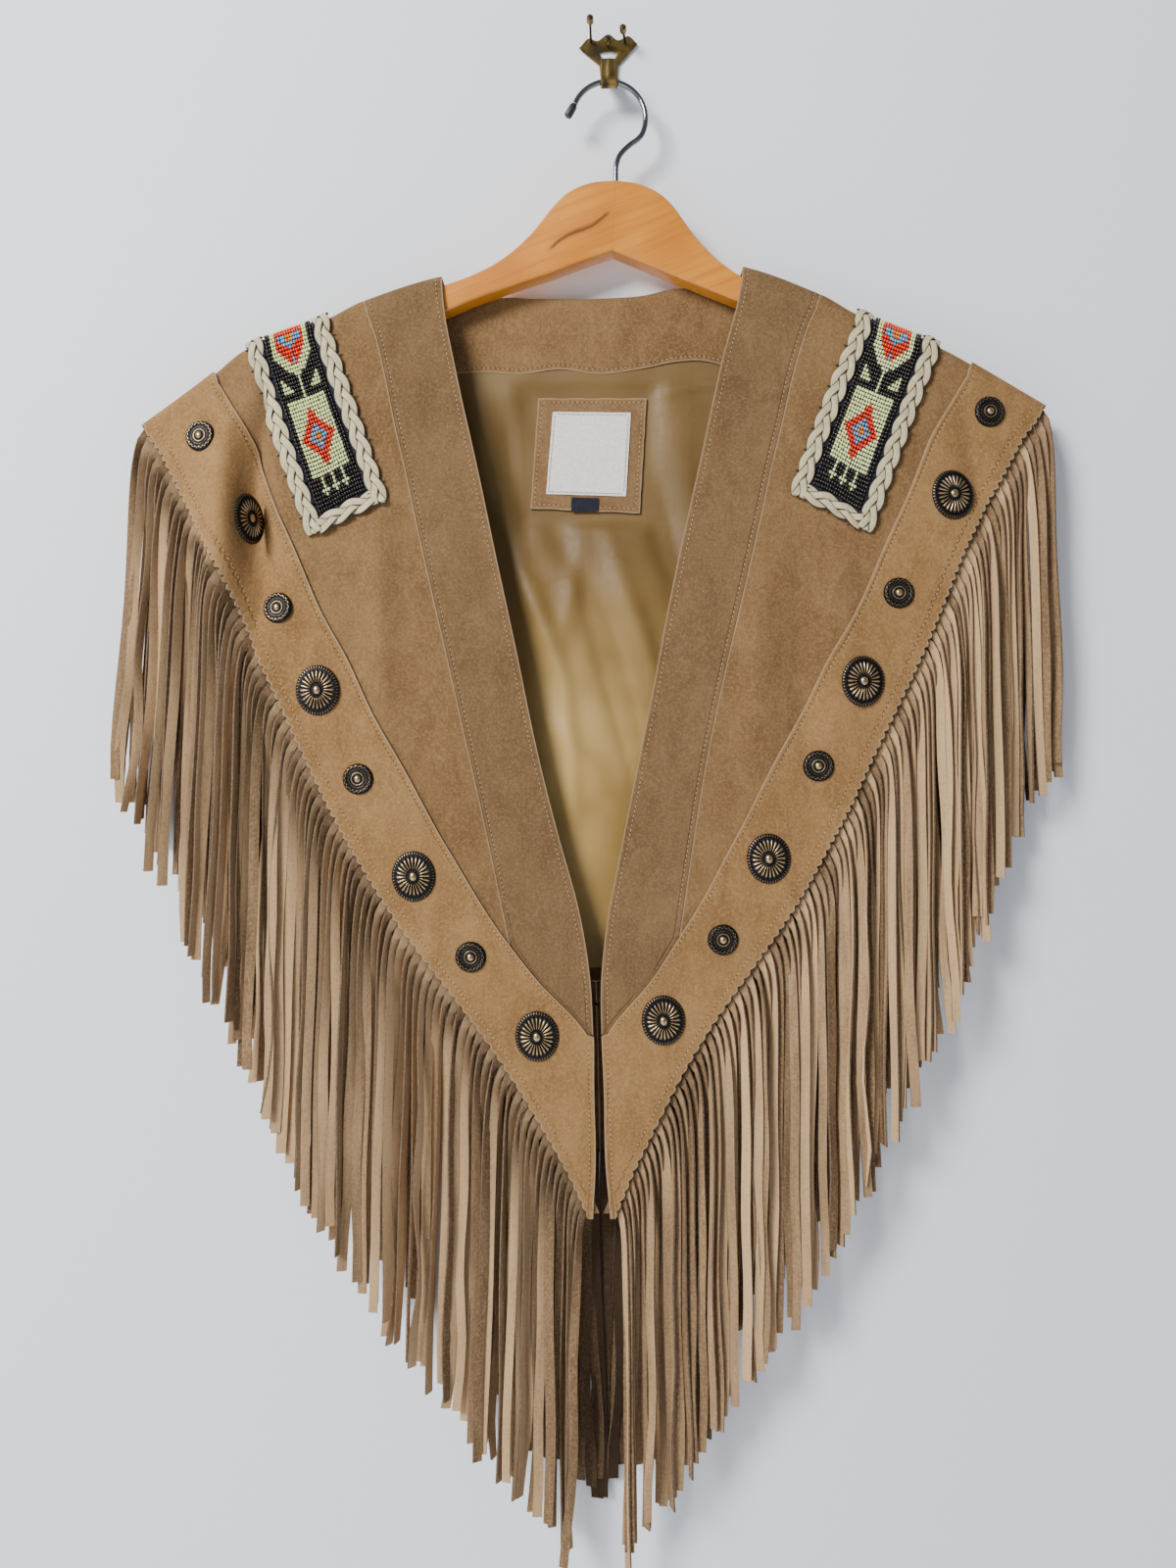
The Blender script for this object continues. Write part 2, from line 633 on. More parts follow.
sheetGrids = {  # columns and rows
    "front_band": (16, 200), "front_panel": (36, 150), "hem_band_front": (16, 520),
    "hem_band_back": (12, 260), "back_panel": (96, 150), "back_lining": (90, 150),
    "back_neck_facing": (90, 16),
}
stitchInset = {
    "front": 3.6, "seam": 2.6, "hemUpper": 2.4, "hemLower": 4.6, "tip": 3.4, "backUpper": 2.8,
    "backLower": 5.2, "facing": 2.6, "slant": 0.86,
}
noEdge = 99.0  # the distance where no edge or seam is near


def clothSheet(key, layout, lift, creased=True):
    # layout gives side, across, down, and the distance to the edge and to the seam, in mm
    shape = bmesh.new()
    columns, rows = sheetGrids[key]
    bmesh.ops.create_grid(shape, x_segments=columns, y_segments=rows, size=0.5)
    spots = np.array([vert.co[:2] for vert in shape.verts]) + 0.5
    side, across, down, edge, seam = layout(spots[:, 0], spots[:, 1])
    points = clothAt(side, across, down, lift, creased) * mm
    outward = outwardAt(side, across, down, creased)
    edgeLayer = shape.verts.layers.float.new("edge")
    seamLayer = shape.verts.layers.float.new("seam")
    cutLayer = shape.loops.layers.uv.new("cut")
    for i, vert in enumerate(shape.verts):
        vert.co = points[i]
        vert[edgeLayer] = edge[i] * mm
        vert[seamLayer] = seam[i] * mm
    shape.verts.index_update()
    for face in shape.faces:
        for loop in face.loops:
            i = loop.vert.index
            loop[cutLayer].uv = (side[i] * across[i] * mm, down[i] * mm)
    turnOutward(shape, outward)
    return shape


def suedePiece(name, shape, kind, node):
    piece = makePiece(name, shape, [suede[kind], rawEdge], [node])
    return thicken(piece, cloth["leather"], 1)


def downRun(share, start, end):
    return start + share * (end - start)


def bothSides(u):  # the side of the middle line, and how far out from it, 0 to 1
    spread = (u - 0.5) * 2
    return np.where(spread < 0, -1.0, 1.0), np.abs(spread)


def scallop(along, pitch, depth):
    return depth * (np.abs(np.sin(np.pi * along / pitch)) ** 0.7 - 0.5)


def frontBand(side, word):
    def layout(u, v):
        down = downRun(v, cloth["frontStart"], cloth["bandEnd"])
        blend = smoothStep(down, 402, 414)  # where the seam meets the hem band
        outer = cutAt("seam", down) * (1 - blend) + np.minimum(
            cutAt("seam", down), cutAt("upper", down)) * blend - 0.1
        inner = cutAt("inner", down) + 0.25 * np.sin(down / 21 + side)
        across = inner + (outer - inner) * u
        edge = np.minimum(across - inner, noEdge)
        seam = np.minimum(np.abs(across - inner - stitchInset["front"]),
                          np.abs(outer - across - stitchInset["seam"]))
        return np.full_like(u, side), across, down, edge, seam

    shape = clothSheet("front_band", layout, 0.0)
    return suedePiece(f"frontBand_{word}", shape, "band", f"front_band_{word}")


def frontPanel(side, word):
    def layout(u, v):
        down = downRun(v, cloth["frontStart"], cloth["panelEnd"])
        inner = cutAt("seam", down) + 0.2
        outer = np.maximum(cutAt("upper", down) + 2.5, inner + 1)
        across = inner + (outer - inner) * u
        edge = across - inner
        return np.full_like(u, side), across, down, edge, np.full_like(u, noEdge)

    shape = clothSheet("front_panel", layout, 0.05)
    return suedePiece(f"frontPanel_{word}", shape, "panel", f"front_panel_{word}")


def hemFront(side, word):
    def layout(u, v):
        down = downRun(v, cloth["frontStart"], cloth["tipDown"])
        upper = np.where(down < cloth["bandEnd"], cutAt("upper", down), cutAt("inner", down))
        upper = upper + 0.35 * np.sin(down / 13) * smoothStep(down, 20, 60)
        lower = cutAt("lower", down) + scallop(down, 6.1, 2.3) * smoothStep(down, 0, 12)
        lower = np.maximum(lower, upper + 1.5)
        across = upper + (lower - upper) * u
        edge = np.minimum(across - upper, lower - across)
        slant = np.where(down < 30, 1.0, stitchInset["slant"])
        seam = np.minimum(np.abs(across - upper - stitchInset["hemUpper"] / slant),
                          np.abs(lower - across - stitchInset["hemLower"] / slant))
        return np.full_like(u, side), across, down, edge * slant, seam

    shape = clothSheet("hem_band_front", layout, cloth["hemLift"])
    return suedePiece(
        f"hemBandFront_{word}", shape, "hem", f"hem_band_front_{word}",
    )


def backEdge(edge, down):
    blend = smoothStep(np.abs(down), cloth["rollFall"], 60)
    return cutAt(edge, down / (1 + (cloth["backScale"] - 1) * blend))


def backLower(down):
    tuck = smoothStep(np.abs(down), 500, cloth["tipDown"] * cloth["backScale"])
    return backEdge("lower", down) - 5 * tuck


def hemBack(side, word):
    last = cloth["tipDown"] * cloth["backScale"]

    def layout(u, v):
        down = -downRun(v, cloth["backStart"], last)
        upper = np.where(-down < cloth["backEnd"], backEdge("upper", down), 0.15)
        upper = np.maximum(np.minimum(upper, backEdge("upper", down)), 0.15)
        lower = backLower(down) + scallop(down, 6.1, 0.9)
        lower = np.maximum(lower, upper + 1)
        across = upper + (lower - upper) * u
        edge = np.minimum(across - upper, lower - across)
        seam = np.minimum(np.abs(across - upper - stitchInset["backUpper"]),
                          np.abs(lower - across - stitchInset["backLower"]))
        return np.full_like(u, side), across, down, edge, seam

    shape = clothSheet("hem_band_back", layout, cloth["hemLift"])
    return suedePiece(
        f"hemBandBack_{word}", shape, "hem", f"hem_band_back_{word}",
    )


def backTop(across):
    return cloth["backStart"] + 1.2 * (1 - smoothStep(across, 20, 55))


def backPanel():
    def layout(u, v):
        side, out = bothSides(u)
        down = -downRun(v, cloth["backStart"], cloth["backEnd"])
        half = np.maximum(backEdge("upper", down) + 2, 2)
        across = out * half
        down = np.where(v < 0.02, -backTop(across), down)
        return side, across, down, np.full_like(u, noEdge), np.full_like(u, noEdge)

    shape = clothSheet("back_panel", layout, 0.0)
    return suedePiece("backPanel", shape, "back", "back_panel")


satinFolds = (  # soft folds of the lining: points (x, z), half-width and height, in mm
    {"line": ((-66, -290), (-55, -328), (-42, -360), (-29, -397), (-24, -447), (-22, -490)),
     "width": 6.5, "high": 2.6},
    {"line": ((-40, -288), (-16, -332), (-3, -369), (8, -406), (18, -449), (24, -500)),
     "width": 9, "high": -3.0},
    {"line": ((-2, -300), (12, -345), (27, -385), (36, -420)), "width": 7, "high": 1.9},
    {"line": ((28, -262), (36, -300), (46, -345)), "width": 8, "high": -2.6},
    {"line": ((44, -240), (56, -290), (60, -330)), "width": 8, "high": 0.9},
    {"line": ((-84, -215), (-80, -262), (-66, -300)), "width": 8, "high": 1.8},
    {"line": ((-64, -225), (-62, -260), (-52, -300)), "width": 6, "high": -1.7},
    {"line": ((-40, -420), (-14, -446), (2, -470)), "width": 8, "high": 1.4},
    {"line": ((34, -212), (60, -206), (88, -203)), "width": 3.2, "high": 1.0},
    {"line": ((-20, -305), (-22, -340), (-30, -372)), "width": 6, "high": 1.1},
    {"line": ((-130, -230), (-104, -300), (-70, -380)), "width": 14, "high": 1.8},
    {"line": ((120, -230), (98, -310), (60, -400)), "width": 14, "high": -1.8},
)
labelArea = {"x": (-52, 26), "z": (-290, -213)}


def wrinklesAt(x, z):
    out = np.zeros_like(x)
    for fold in satinFolds:
        best = np.full_like(x, 1e9)
        share = np.zeros_like(x)
        points = fold["line"]
        for i, ((x0, z0), (x1, z1)) in enumerate(zip(points, points[1:])):
            long, high = x1 - x0, z1 - z0
            t = np.clip(((x - x0) * long + (z - z0) * high) / (long ** 2 + high ** 2), 0, 1)
            away = np.hypot(x - x0 - t * long, z - z0 - t * high)
            share = np.where(away < best, (i + t) / (len(points) - 1), share)
            best = np.minimum(best, away)
        fade = np.sin(np.pi * np.clip(share * 0.84 + 0.08, 0, 1)) ** 0.8
        out = out + fold["high"] * fade * np.exp(-(best / fold["width"]) ** 2)
    out = out + 0.35 * np.sin(x / 6.1 + z / 19) * np.sin(z / 23 - x / 31)
    nearX = smoothStep(np.abs(x - np.mean(labelArea["x"])), 39, 49)
    nearZ = smoothStep(np.abs(z - np.mean(labelArea["z"])), 38.5, 50)
    sag = 8.5 * smoothStep(-z, 288, 350) * (1 - smoothStep(-z, 500, 590))
    sag = sag * np.exp(-((x + 12) / 52) ** 2)
    return (np.maximum(1.7 * out + 2.6, 0) + sag) * np.maximum(nearX, nearZ)


def backLining():
    def layout(u, v):
        side, out = bothSides(u)
        down = -downRun(v, cloth["backStart"], cloth["liningEnd"])
        half = np.maximum(backEdge("upper", down) - cloth["liningInset"], 2)
        return side, out * half, down, np.full_like(u, noEdge), np.full_like(u, noEdge)

    shape = clothSheet("back_lining", layout, cloth["innerLift"], False)
    spots = np.array([vert.co[:] for vert in shape.verts]) / mm
    lifts = wrinklesAt(spots[:, 0], spots[:, 2]) * smoothStep(-spots[:, 2], 190, 215)
    for vert, spot, lift in zip(shape.verts, spots, lifts):
        vert.co.y = (spot[1] - lift - 0.9) * mm
    piece = makePiece("backLining", shape, [satin, satin], ["back_lining"])
    return thicken(piece, cloth["satin"], 0, 1)


def facingBottom(side, across):
    return 57.5 + 1.2 * np.sin(side * across / 12) + 0.8 * np.sin(side * across / 7.3 + 1)


def backFacing():
    def layout(u, v):
        side, out = bothSides(u)
        across = out * (138 + 20 * v)
        bottom = facingBottom(side, across)
        down = -downRun(v, bottom, backTop(across))
        edge = bottom + down
        return side, across, down, np.abs(edge), np.abs(edge - 2.4)

    shape = clothSheet("back_neck_facing", layout, cloth["innerLift"], False)
    piece = makePiece(
        "neckFacing", shape, [suede["panel"], rawEdge], ["back_neck_facing"],
    )
    for vert in piece.data.vertices:
        vert.co.y -= 2.1 * mm
    return thicken(piece, cloth["satin"], 1, 1)


for side, word in sides:
    frontBand(side, word)
    frontPanel(side, word)
    hemFront(side, word)
    hemBack(side, word)
backPanel()
backLining()
backFacing()
print("cloth")

# Fringe: cut strips that leave the band's edge squarely, turn and hang
fringeSettings = {
    "front": {"count": 90, "width": 5.6, "lengthSpread": 13, "depthSpread": 5.6},
    "back": {"count": 82, "width": 6.0, "lengthSpread": 12, "depthSpread": 2.2},
    "thickness": 1.1, "steps": 18, "heading": 8,
}
strandRows = {
    "along": (0, 0.15, 0.5, 0.85, 1), "length": (218, 230, 240, 238, 216),
    "left": (14, 9, 6, 4, 3), "right": (9, 4, 1, 1, 1),
}


def edgeLine(side, face):
    isFront = face == "front"
    sign = 1 if isFront else -1
    first = 4 if isFront else cloth["rollFall"] + 2
    last = cloth["tipDown"] - 3 if isFront else cloth["tipDown"] * cloth["backScale"]
    down = np.linspace(first, last, 400)
    across = (cutAt("lower", down) if isFront else backLower(down)) + 0.3
    points = clothAt(side, across, sign * down, -1.3)
    return down * sign, across, points, runLengths(points)


def fringe(side, word, face):
    look = fringeSettings[face]
    sign = 1 if face == "front" else -1
    dice = random.Random(f"{word}{face}")
    down, across, points, length = edgeLine(side, face)
    pitch = length[-1] / look["count"]
    steps = fringeSettings["steps"]
    shape = bmesh.new()
    toneLayer = shape.verts.layers.float.new("strandTone")
    rootLayer = shape.verts.layers.float.new("fromRoot")
    for k in range(look["count"]):
        at = (k + 0.5) * pitch
        root, ahead = (
            np.array([np.interp(where, length, points[:, n]) for n in range(3)])
            for where in (at, at + 1))
        edgeWay = ahead - root
        edgeWay /= np.linalg.norm(edgeWay)
        rootDown = np.interp(at, length, down)
        rootAcross = np.interp(at, length, across)
        normal = outwardAt(side, np.array([rootAcross]), np.array([rootDown]))[0]
        outWay = np.cross(normal, edgeWay) * side * -1
        outWay = outWay if outWay[0] * side > 0 else -outWay
        share = at / length[-1]
        hang = float(readRows(strandRows, "along", "length", share))
        hang += dice.uniform(-1, 1) * look["lengthSpread"] * 0.5
        lean = float(readRows(strandRows, "along", word, share)) * side + dice.gauss(0, 2.2)
        if face == "back":
            lean -= (lean + side * 7) * float(smoothStep(share, 0.9, 1.0))
        tipShare = float(smoothStep(share, 0.84, 1.0)) * (0.97 if face == "back" else 0.5)
        outWay = outWay * (1 - tipShare) + np.array([0, 0, -1.0]) * tipShare
        outWay = outWay / np.linalg.norm(outWay)
        turned = dice.random() < 0.36
        firstYaw = math.radians(dice.uniform(54, 88))
        lastYaw = math.radians(dice.uniform(38, 76) if turned else dice.gauss(4, 17))
        faceOn = float(smoothStep(share, 0.84, 0.95)) if face == "back" else 0.0
        firstYaw, lastYaw = firstYaw * (1 - 0.9 * faceOn), lastYaw * (1 - 0.75 * faceOn)
        twistLength = dice.uniform(18, 110)
        depth = dice.uniform(-1, 1) * look["depthSpread"]
        wavy = dice.random() ** 3
        sway = [dice.uniform(0, 6.3), 0.7 + 2.6 * wavy, dice.uniform(28, 70)]
        curl = math.radians(dice.uniform(4, 12) + 30 * wavy)
        strandTone = dice.random()
        width = look["width"] + dice.uniform(-0.6, 0.7) + 1.2 * faceOn
        if face == "back":
            strandTone = strandTone * 0.5 - 0.25 - 0.3 * faceOn
        strand, spots = gridIn(shape, 2, steps)
        spine = []
        here = root - outWay * 3.0
        travelled = 0.0
        for row in range(steps + 1):
            t = row / steps
            s = (t ** 1.7) * (hang + 6)
            stepLength = s - travelled
            pieces = max(1, int(stepLength / 2))
            for _ in range(pieces):
                travelled += stepLength / pieces
                pull = math.exp(-max(travelled - 3, 0) / 8.5)
                way = outWay * pull + np.array([0, 0, -1.0]) * (1 - pull)
                way /= np.linalg.norm(way)
                here = here + way * stepLength / pieces
            fall = min(travelled / hang, 1)
            spot = here.copy()
            spot[0] += lean * fall ** 1.3
            spot[0] += sway[1] * math.sin(travelled / sway[2] * 2 + sway[0]) * fall
            spot[1] -= sign * depth * smoothStep(travelled, 8, 60)
            turnShare = math.exp(-max(travelled - 12, 0) / twistLength)
            yaw = lastYaw + (firstYaw - lastYaw) * turnShare
            yaw += curl * math.sin(travelled / sway[2] * 1.7 + 2 * sway[0]) * fall
            opened = smoothStep(travelled, 3 - 3 * faceOn, 16 - 11 * faceOn)
            level = np.array([side * math.cos(yaw), -sign * math.sin(yaw), 0.0])
            wide = edgeWay * (1 - opened) * -1 + level * opened
            wide = wide / np.linalg.norm(wide)
            spine.append((spot, wide, way, travelled))
        for vert, (u, v) in zip(strand, spots):
            spot, wide, way, fromRoot = spine[int(round(v * steps))]
            cup = (0.25 - (u - 0.5) ** 2) * 0.7
            outward = np.cross(wide, way)
            vert.co = Vector((spot + wide * (u - 0.5) * width + outward * cup) * mm)
            vert[toneLayer] = strandTone
            vert[rootLayer] = fromRoot * mm
    heading(shape, side, sign, down, across, toneLayer)
    piece = makePiece(
        f"fringe{face.capitalize()}_{word}", shape, [fringeSuede, cutEdge],
        [f"fringe_{face}_{word}"],
    )
    return thicken(piece, fringeSettings["thickness"], 1, 0)


def heading(shape, side, sign, down, across, toneLayer):
    made, spots = gridIn(shape, 1, 120)
    at = np.interp(spots[:, 1], np.linspace(0, 1, len(down)), down)
    lower = np.interp(spots[:, 1], np.linspace(0, 1, len(across)), across)
    inward = np.maximum(lower - fringeSettings["heading"] * (1 - spots[:, 0]), 0.5)
    points = clothAt(side, inward, at, -0.4) * mm
    for vert, point in zip(made, points):
        vert.co = point
        vert[toneLayer] = 0.5


for side, word in sides:
    for face in ("front", "back"):
        fringe(side, word, face)
print("fringe")

# Shoulder trim: felt, loom beads and plaits, on the front panel's points moved out
trimSettings = {
    "across": 191.5, "slope": 0.316, "rowShare": 1.07, "felt": 20.5,
    "bottom": 137, "bead": (1.62, 2.48), "beadColumns": 19, "rowsBehind": 11, "plait": 11.0,
}


def trimPlace(sideways, down):
    middle = trimSettings["across"] - trimSettings["slope"] * np.abs(down)
    return middle + np.asarray(sideways) / trimSettings["rowShare"], down


def trimAt(side, sideways, down, lift):
    across, down = trimPlace(sideways, down)
    return clothAt(side, across, down, lift)


def axisLengths(side):  # distance along the trim's middle from the shoulder line, by down
    downs = np.linspace(-34, 140, 700)
    points = trimAt(side, 0, downs, 2.0)
    length = runLengths(points)
    return downs, length - np.interp(0, downs, length)


beadRows = {"shield": 13, "stem": 6, "window": 20, "foot": 8}
shieldRows = {  # counted upward from the stem: half-widths of each colour, -1 for none
    "pale": (1, 3, 4, 5, 6, 7, 7, 7, 7, 7, 7, 7, 7),
    "red": (-1, -1, -1, 1, 2, 3, 4, 5, 5, 5, 5, 5, 5),
    "blue": (-1, -1, -1, 0, 0, -1, -1, 0, 2, 4, 4, -1, -1),
    "orange": (-1, -1, -1, -1, -1, -1, -1, -1, -1, 1, 1, -1, -1),
}


def beadColour(row, column):  # 0 pale, 1 red, 2 blue, 3 orange, 4 black; row 0 is at the ridge
    away = abs(column)
    if row < beadRows["shield"]:
        up = beadRows["shield"] - 1 - row
        if up > 12:
            return 0 if away <= 7 and row > -4 else 4
        widths = [shieldRows[key][up] for key in ("orange", "blue", "red", "pale")]
        for colour, width in zip((3, 2, 1, 0), widths):
            if away <= width:
                return colour
        return 4
    row -= beadRows["shield"]
    if row < beadRows["stem"]:
        return 0 if away == 0 or (row < 4 and 7 - row <= away <= 7) else 4
    row -= beadRows["stem"]
    if row < beadRows["window"]:
        far = abs(row - 10)
        red = (6, 5, 4, 3, 2, 1, 1, 0)[far] if far < 8 else -1
        for colour, width in ((3, 1 - far), (2, 3 - far), (1, red), (0, 7)):
            if 0 <= width and away <= width:
                return colour
        return 4
    row -= beadRows["window"]
    fromStem = min(abs(column - stem) for stem in (-4, 0, 4))
    if row < 5 and (fromStem == 0 or (row == 3 and fromStem == 1)):
        return 0
    return 4


def ballShape(segments, rings):
    shape = bmesh.new()
    bmesh.ops.create_uvsphere(shape, u_segments=segments, v_segments=rings, radius=1)
    shape.verts.index_update()
    verts = np.array([vert.co[:] for vert in shape.verts])
    faces = np.array([[vert.index for vert in face.verts] + [-1] * (4 - len(face.verts))
                      for face in shape.faces])
    shape.free()
    return verts, faces


def scatter(balls, template):  # a copy of the template at each spot, along, normal and size
    verts, faces = template
    spots, alongs, normals, sizes, kinds = (np.concatenate(part) for part in zip(*balls))
    alongs = alongs / np.linalg.norm(alongs, axis=1, keepdims=True)
    normals = normals - alongs * (alongs * normals).sum(axis=1, keepdims=True)
    normals = normals / np.linalg.norm(normals, axis=1, keepdims=True)
    sideways = np.cross(normals, alongs)
    turns = np.stack([sideways, normals, alongs], axis=2) * sizes[:, None, :]
    points = np.einsum("nij,vj->nvi", turns, verts) + spots[:, None, :]
    first = (np.arange(len(spots)) * len(verts))[:, None, None]
    shifted = faces[None] + first * (faces[None] >= 0)
    corners = [[corner for corner in face if corner >= 0]
               for face in shifted.reshape(-1, 4).tolist()]
    mesh = bpy.data.meshes.new("balls")
    mesh.from_pydata((points.reshape(-1, 3) * mm).tolist(), [], corners)
    mesh.polygons.foreach_set("material_index", np.repeat(kinds, len(faces)).astype(np.int32))
    shape = bmesh.new()
    shape.from_mesh(mesh)
    bpy.data.meshes.remove(mesh)
    return shape


beadBall, tackBall, stitchBall = ballShape(8, 5), ballShape(8, 5), ballShape(6, 4)


def beads(side, word):
    dice = np.random.default_rng(61 if side < 0 else 62)
    columnPitch, rowPitch = trimSettings["bead"]
    half = trimSettings["beadColumns"] // 2
    downs, lengths = axisLengths(side)
    lastRow = sum(beadRows.values())
    firstLength = float(np.interp(123.9, downs, lengths)) - (lastRow - 1) * rowPitch
    rows, columns = np.meshgrid(
        np.arange(-trimSettings["rowsBehind"], lastRow), np.arange(-half, half + 1), indexing="ij",
    )
    rows, columns = rows.ravel(), columns.ravel()
    kinds = np.array([beadColour(row, column) for row, column in zip(rows, columns)])
    down = np.interp(firstLength + rows * rowPitch, lengths, downs)
    sideways = columns * columnPitch
    spots = trimAt(side, sideways, down, 2.3)
    alongs = trimAt(side, sideways + 1, down, 2.3) - spots
    normals = spots - trimAt(side, sideways, down, 1.3)
    count = len(rows)
    spots = spots + dice.normal(0, 0.07, (count, 3)) * (1, 0.3, 1)
    tall = dice.uniform(1.1, 1.2, count)
    sizes = np.stack([tall, tall * 0.95, dice.uniform(0.76, 0.86, count)], axis=1)
    shape = scatter([(spots, alongs, normals, sizes, kinds)], beadBall)
    return makePiece(f"beads_{word}", shape, beadLooks, [f"trim_beads_{word}"])


def felt(side, word):
    shape = bmesh.new()
    bmesh.ops.create_grid(shape, x_segments=24, y_segments=200, size=0.5)
    spots = np.array([vert.co[:2] for vert in shape.verts]) + 0.5
    down = -32 + spots[:, 1] * (131 + 32)
    wave = scallop(down, 6.5, 1.2)
    sideways = (spots[:, 0] - 0.5) * 2 * (trimSettings["felt"] + wave)
    points = trimAt(side, sideways, down, 1.4) * mm
    outward = trimAt(side, sideways, down, 2.4) * mm - points
    for vert, point in zip(shape.verts, points):
        vert.co = point
    turnOutward(shape, outward)
    piece = makePiece(f"felt_{word}", shape, [navyFelt], [f"trim_felt_{word}"])
    return thicken(piece, 1.0)


def plaitLine(side, start, end):  # a straight run on the trim, from (sideways, down) to the same
    t = np.linspace(0, 1, 160)
    sideways = start[0] + (end[0] - start[0]) * t
    down = start[1] + (end[1] - start[1]) * t
    return sideways, down, runLengths(trimAt(side, sideways, down, 2.0))


plaitSettings = {"period": 42, "swing": 3.25, "lift": 0.95, "lace": 4.9, "step": 1.1}


def plait(shape, tacks, side, start, end, phase):
    look = plaitSettings
    sideways, down, length = plaitLine(side, start, end)
    lengthwise = abs(end[1] - start[1]) > abs(end[0] - start[0])
    laceLayer = shape.loops.layers.uv.verify()
    steps = int(length[-1] / look["step"])

    def at(along, swung, lift):
        centre, middle = np.interp(along, length, sideways), np.interp(along, length, down)
        if lengthwise:
            return trimAt(side, centre + swung, middle, lift)
        return trimAt(side, centre, middle - swung / 0.92, lift)

    for k in range(3):
        made, spots = gridIn(shape, 4, steps)
        s = spots[:, 1] * length[-1]
        t = 2 * math.pi * (s / look["period"] + k / 3 + phase)
        swing = look["swing"] * (np.sin(t) - 0.07 * np.sin(3 * t))
        slope = look["swing"] * 2 * math.pi / look["period"] * np.cos(t)
        out = (spots[:, 0] - 0.5) * look["lace"] * (1 - 0.12 * np.abs(np.sin(t)))
        along = np.clip(s - out * np.sin(np.arctan(slope)), -2.5, length[-1] + 2.5)
        lift = 3.0 + look["lift"] * np.sin(2 * t) + 0.2 * (1 - (2 * spots[:, 0] - 1) ** 2)
        place = at(along, swing + out * np.cos(np.arctan(slope)), lift)
        for vert, point in zip(made, place * mm):
            vert.co = point
        uvAt = {vert: (u, v) for vert, u, v in zip(made, out * mm, (s + 60 * k) * mm)}
        for face in {face for vert in made for face in vert.link_faces}:
            for loop in face.loops:
                loop[laceLayer].uv = uvAt[loop.vert]
    for sign, shift in ((1, 0.25), (-1, 0.75)):
        notch = look["period"] * ((np.arange(-3, 20) + 0.5) / 3 + shift - phase)
        notch = notch[(notch > 3) & (notch < length[-1] - 2)]
        edge = sign * (look["swing"] + 1.5)
        spots = at(notch, edge, 2.9)
        alongs = at(notch, edge + 0.5, 2.9) - spots
        normals = spots - at(notch, edge, 1.9)
        sizes = np.tile([0.6, 0.8, 1.5], (len(notch), 1))
        tacks.append((spots, alongs, normals, sizes, np.zeros(len(notch), int)))


def braid(side, word):
    shape = bmesh.new()
    shape.loops.layers.uv.new("lace")
    middle = 16.6 + trimSettings["plait"] / 2
    footDown = trimSettings["bottom"] - 5.6
    tacks = []
    plait(shape, tacks, side, (-middle, -33), (-middle, footDown + 5), 0.1)
    plait(shape, tacks, side, (middle, -33), (middle, footDown + 5), 0.43)
    foot = middle - 3.4
    plait(shape, tacks, side, (-foot, footDown + 0.8), (foot, footDown + 0.8), 0.2)
    shape.normal_update()
    for face in shape.faces:
        if face.normal.y > 0.2 and face.calc_center_median().y < -0.018:
            face.normal_flip()
    piece = makePiece(f"braid_{word}", shape, [braidLeather], [f"trim_braid_{word}"])
    thicken(piece, 1.1)
    tackShape = scatter(tacks, tackBall)
    makePiece(f"braidTacks_{word}", tackShape, [blackThread])
    return piece


for side, word in sides:
    felt(side, word)
    beads(side, word)
    braid(side, word)
print("shoulder trim")

# Conchos: spun from a profile, then fluted or roped
conchoLooks = {
    "round": {
        "size": (19, 19), "steps": 108, "ribs": 18, "twist": 1.7,
        "profile": (
            (0, 2.9, 1.0), (1.0, 2.75, 1.0), (1.9, 2.3, 0.8), (2.5, 1.5, 0.1), (3.0, 1.35, 0.1),
            (3.5, 1.7, 0.7), (4.0, 1.75, 0.68), (4.4, 1.3, 0.0), (4.9, 1.25, 0.0),
            (5.4, 1.55, 0.6), (5.9, 1.5, 0.4), (6.3, 1.1, 0.0), (6.7, 1.3, 0.2),
            (7.4, 1.75, 0.45), (8.2, 1.7, 0.45), (8.9, 1.2, 0.2), (9.3, 0.6, 0.0), (9.5, 0.0, 0.0),
        ),
        "rope": (6.6, 9.0, 0.28), "flute": None,
    },
    "oval": {
        "size": (27, 31), "steps": 144, "ribs": 24, "twist": 0.0,
        "profile": (
            (0, 3.9, 1.0), (1.2, 3.75, 1.0), (2.2, 3.3, 0.85), (2.9, 2.5, 0.3), (3.4, 2.2, 0.05),
            (4.4, 2.35, 0.1), (5.6, 2.45, 0.3), (7.2, 2.4, 0.4), (8.8, 2.2, 0.45),
            (10.4, 1.95, 0.42), (11.8, 1.6, 0.2), (12.6, 1.45, 0.02), (13.2, 1.4, 0.05),
            (13.8, 1.3, 0.3), (14.6, 1.1, 0.35), (15.2, 0.6, 0.25), (15.5, 0.0, 0.1),
        ),
        "rope": (13.4, 15.4, 0.26), "flute": (4.0, 12.3, 0.62),
    },
}
conchoRows = [
    ("round", (242.4, 37.6), (247, 26)), ("oval", (218.6, 109.4), (223.8, 91.9)),
    ("round", (191.5, 174.4), (190.2, 167)), ("oval", (166.6, 234.2), (167.1, 231)),
    ("round", (142.2, 300.5), (140.7, 297.1)), ("oval", (109.9, 371.4), (108.6, 366.7)),
    ("round", (76.7, 427.1), (78.9, 422.8)), ("oval", (37.3, 476.5), (40.7, 470.3)),
]


